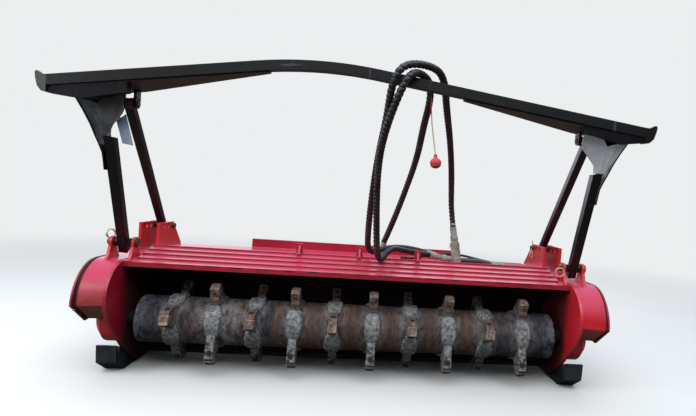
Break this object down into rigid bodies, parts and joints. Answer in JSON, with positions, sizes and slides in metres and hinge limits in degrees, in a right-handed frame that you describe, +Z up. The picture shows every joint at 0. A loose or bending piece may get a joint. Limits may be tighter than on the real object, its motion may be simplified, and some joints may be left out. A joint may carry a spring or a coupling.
{
  "type": "skid steer mulcher",
  "caption": "Drum mulcher attachment for a skid steer: toothed rotor in an open-fronted hood, quick-attach plate, tilting push frame and draped hydraulic hoses.",
  "frame": {"origin": "on the floor, at the centre of the machine's width and of its length front to back", "axes": "+X across the machine to the right as seen from its front, +Y towards the quick-attach plate at the rear, +Z up"},
  "size_m": [2.205, 1.1447, 1.2767],
  "materials": {
    "red_paint": "glossy crimson enamel with dust and worn edges",
    "black_paint": "satin black enamel with scuffs",
    "worn_steel": "dark polished by wear",
    "rusty_steel": "rust brown with grey speckles",
    "tooth_steel": "tan rust, worn",
    "hose_rubber": "satin",
    "zinc_steel": "dull zinc",
    "dark_steel": "satin black",
    "cap_rubber": "satin red",
    "pale_cord": "matt"
  },
  "bodies": {
    "housing": {"side_plate_left": "red_paint", "side_plate_right": "red_paint", "end_cover_left": "red_paint", "end_cover_right": "red_paint", "cover_rim_left": "red_paint", "cover_rim_right": "red_paint", "bearing_housing_left": "red_paint", "bearing_housing_right": "red_paint", "skid_left": "worn_steel", "skid_right": "worn_steel", "front_deck": "red_paint", "hood": "red_paint", "rear_deck": "red_paint", "rear_beam": "red_paint", "shear_bar": "worn_steel", "quick_attach_plate": "red_paint", "mount_ribs": "red_paint", "hydraulic_motor": "dark_steel", "deck_gussets": "red_paint", "front_ears": "red_paint", "rear_lugs": "red_paint", "front_pins": "zinc_steel", "rear_pins": "zinc_steel", "return_hose": "hose_rubber", "pressure_hose": "hose_rubber", "front_motor_hose": "hose_rubber", "rear_motor_hose": "hose_rubber", "drain_hose": "hose_rubber", "return_coupler": "zinc_steel", "pressure_coupler": "zinc_steel", "drain_coupler": "dark_steel", "hose_adaptors": "zinc_steel", "port_elbows": "zinc_steel"},
    "rotor": {"drum": "rusty_steel", "tooth_holders": "rusty_steel", "cutting_teeth": "tooth_steel"},
    "push_frame": {"push_bar": "black_paint", "bar_ends": "black_paint", "bar_gusset_left": "black_paint", "bar_gusset_right": "black_paint", "end_beam_left": "black_paint", "end_beam_right": "black_paint", "hinge_ears": "black_paint", "wing_bracket_left": "black_paint", "wing_bracket_right": "black_paint", "front_leg_left": "black_paint", "front_leg_right": "black_paint", "upper_pins": "rusty_steel", "cap_lanyard": "pale_cord", "dust_cap": "cap_rubber"},
    "rear_leg_left": {"rear_leg_left": "black_paint"},
    "rear_leg_right": {"rear_leg_right": "black_paint"}
  },
  "joints": [
    {"name": "rotor_spin", "type": "hinge", "parent": "housing", "child": "rotor", "pos_m": [0, -0.114, 0.215], "axis": [1, 0, 0], "continuous": true},
    {"name": "push_frame_tilt", "type": "hinge", "parent": "housing", "child": "push_frame", "pos_m": [0, -0.154, 0.533], "axis": [1, 0, 0], "range_deg": [0, 18.3], "deforming": ["return_hose", "pressure_hose"]},
    {"name": "rear_leg_left_swing", "type": "hinge", "parent": "push_frame", "child": "rear_leg_left", "pos_m": [-0.86, -0.394, 1.065], "axis": [1, 0, 0], "range_deg": [-10.3, 0.2]},
    {"name": "rear_leg_right_swing", "type": "hinge", "parent": "push_frame", "child": "rear_leg_right", "pos_m": [0.86, -0.394, 1.065], "axis": [1, 0, 0], "range_deg": [-10.3, 0.2]}
  ],
  "couplings": [
    {"joint": "rear_leg_left_swing", "follows": "push_frame_tilt", "ratio": -0.5507},
    {"joint": "rear_leg_right_swing", "follows": "push_frame_tilt", "ratio": -0.5507}
  ]
}
